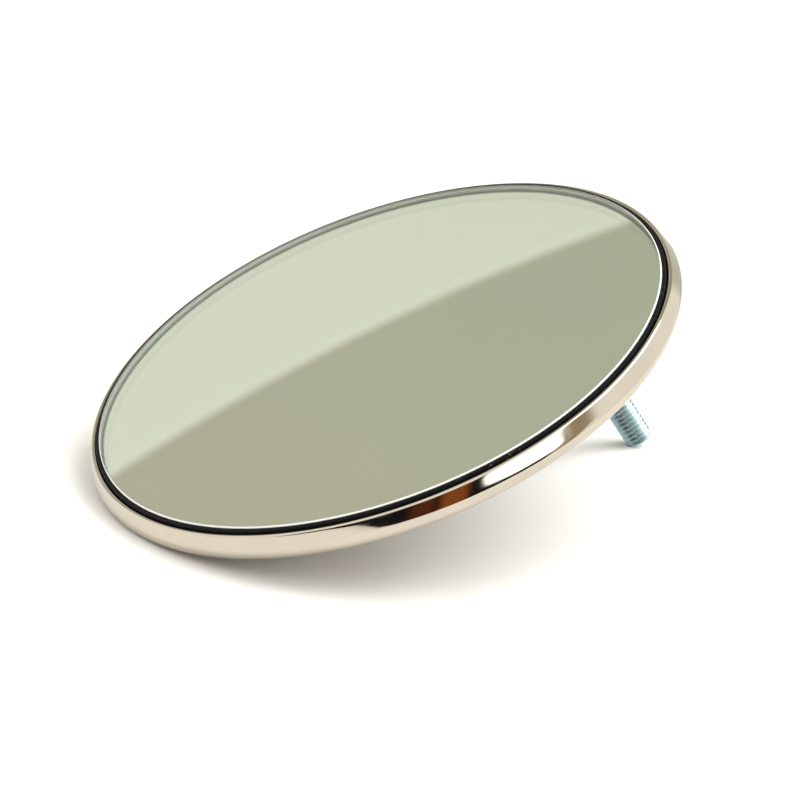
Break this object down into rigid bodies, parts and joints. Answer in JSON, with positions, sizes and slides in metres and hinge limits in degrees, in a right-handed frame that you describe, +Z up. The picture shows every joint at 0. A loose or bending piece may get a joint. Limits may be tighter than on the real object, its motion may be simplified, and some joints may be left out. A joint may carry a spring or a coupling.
{
  "type": "convex mirror head",
  "caption": "Round convex glass mirror in a bright rolled rim, with a domed back and an off-centre threaded ball stud to fasten it by.",
  "frame": {"origin": "on the table, under the middle of the whole thing as it lies face up on its rim and on the tip of its stud", "axes": "+Z up from the table; +X from the rim's low edge towards the stud, so the mirror faces +Z and leans towards -X; Y across"},
  "size_m": [0.13, 0.127, 0.0587],
  "materials": {
    "bright_nickel": "bright nickel plate on rolled brass sheet",
    "nickel_back": "nickel plate on pressed steel, less polished than the rim",
    "clear_glass": "clear float glass, bent and ground at the edge",
    "silver_film": "chemical silvering under grey backing paint",
    "black_rubber": "matt, slightly dusty",
    "grey_foam": "closed-cell foam",
    "fibre_board": "pressed fibre board",
    "zinc_plate": "bright zinc plate with a blue passivate",
    "turned_steel": "turned steel with nickel flash",
    "spring_steel": "oiled spring steel",
    "nylon": "natural moulded nylon"
  },
  "bodies": {
    "head": {"rim_bezel": "bright_nickel", "back_shell": "nickel_back", "glass_gasket": "black_rubber", "mirror_glass": "clear_glass", "silvering": "silver_film", "foam_pad": "grey_foam", "backing_board": "fibre_board", "socket_cup": "turned_steel", "ball_seal": "black_rubber", "pressure_cup": "nylon", "thrust_washer": "spring_steel", "pressure_spring": "spring_steel", "spring_cap": "turned_steel", "socket_rivets": "turned_steel"},
    "seat": {"ball_seat": "nylon"},
    "liner": {"ball_liner": "nylon"},
    "stud": {"ball_stud": "zinc_plate"},
    "washers": {"plain_washer": "zinc_plate", "spring_washer": "zinc_plate"},
    "nut": {"hex_nut": "zinc_plate"}
  },
  "joints": [
    {"name": "seat_spin", "type": "hinge", "parent": "head", "child": "seat", "pos_m": [0.03523, 0, 0.03576], "axis": [0.6287, 0, -0.7776], "continuous": true},
    {"name": "ball_tilt_side", "type": "hinge", "parent": "seat", "child": "liner", "pos_m": [0.03523, 0, 0.03576], "axis": [0.7776, 0, 0.6287], "range_deg": [-15, 15]},
    {"name": "ball_tilt_up", "type": "hinge", "parent": "liner", "child": "stud", "pos_m": [0.03523, 0, 0.03576], "axis": [0, 1, 0], "range_deg": [-15, 15]},
    {"name": "washer_travel", "type": "slide", "parent": "stud", "child": "washers", "axis": [0.6287, 0, -0.7776], "range_m": [0, 0.02159]},
    {"name": "nut_turn", "type": "hinge", "parent": "washers", "child": "nut", "pos_m": [0.0529, 0, 0.01391], "axis": [0.6287, 0, -0.7776], "range_deg": [0, 6121]}
  ],
  "couplings": [
    {"joint": "nut_turn", "follows": "washer_travel", "rad_per_m": 4947.4}
  ]
}
